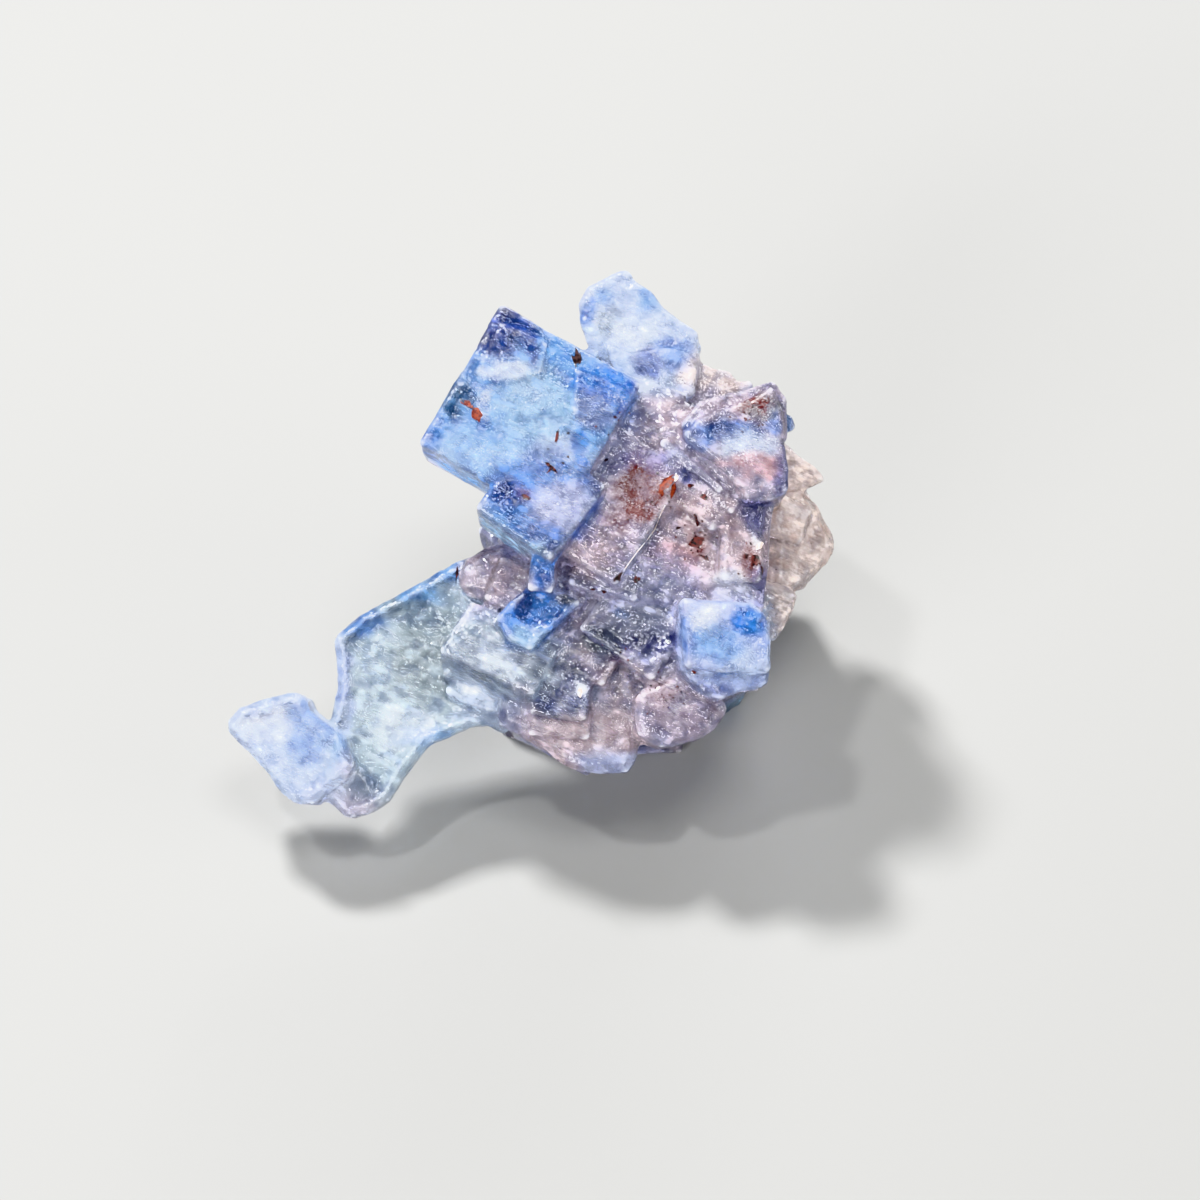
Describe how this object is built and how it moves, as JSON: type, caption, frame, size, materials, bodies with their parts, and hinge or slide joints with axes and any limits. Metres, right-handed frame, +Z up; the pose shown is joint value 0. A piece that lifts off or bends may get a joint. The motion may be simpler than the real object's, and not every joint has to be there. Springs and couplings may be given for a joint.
{
  "type": "fluorite crystal cluster",
  "caption": "Miniature cluster of intergrown see-through fluorite cubes, blue, mauve and colourless, with a long skeletal arm, resting on its flat break.",
  "frame": {"origin": "middle of the cluster's footprint, on the surface that it rests on", "axes": "+X from the arm's end to the main mass, +Z up; the display side faces -Y and up"},
  "size_m": [0.0302, 0.0234, 0.0223],
  "materials": {
    "fluorite": "lightly etched see-through crystal, zoned blue, mauve and colourless, with small rust flakes"
  },
  "bodies": {
    "root": {"crystal_cluster": "fluorite"}
  },
  "joints": []
}
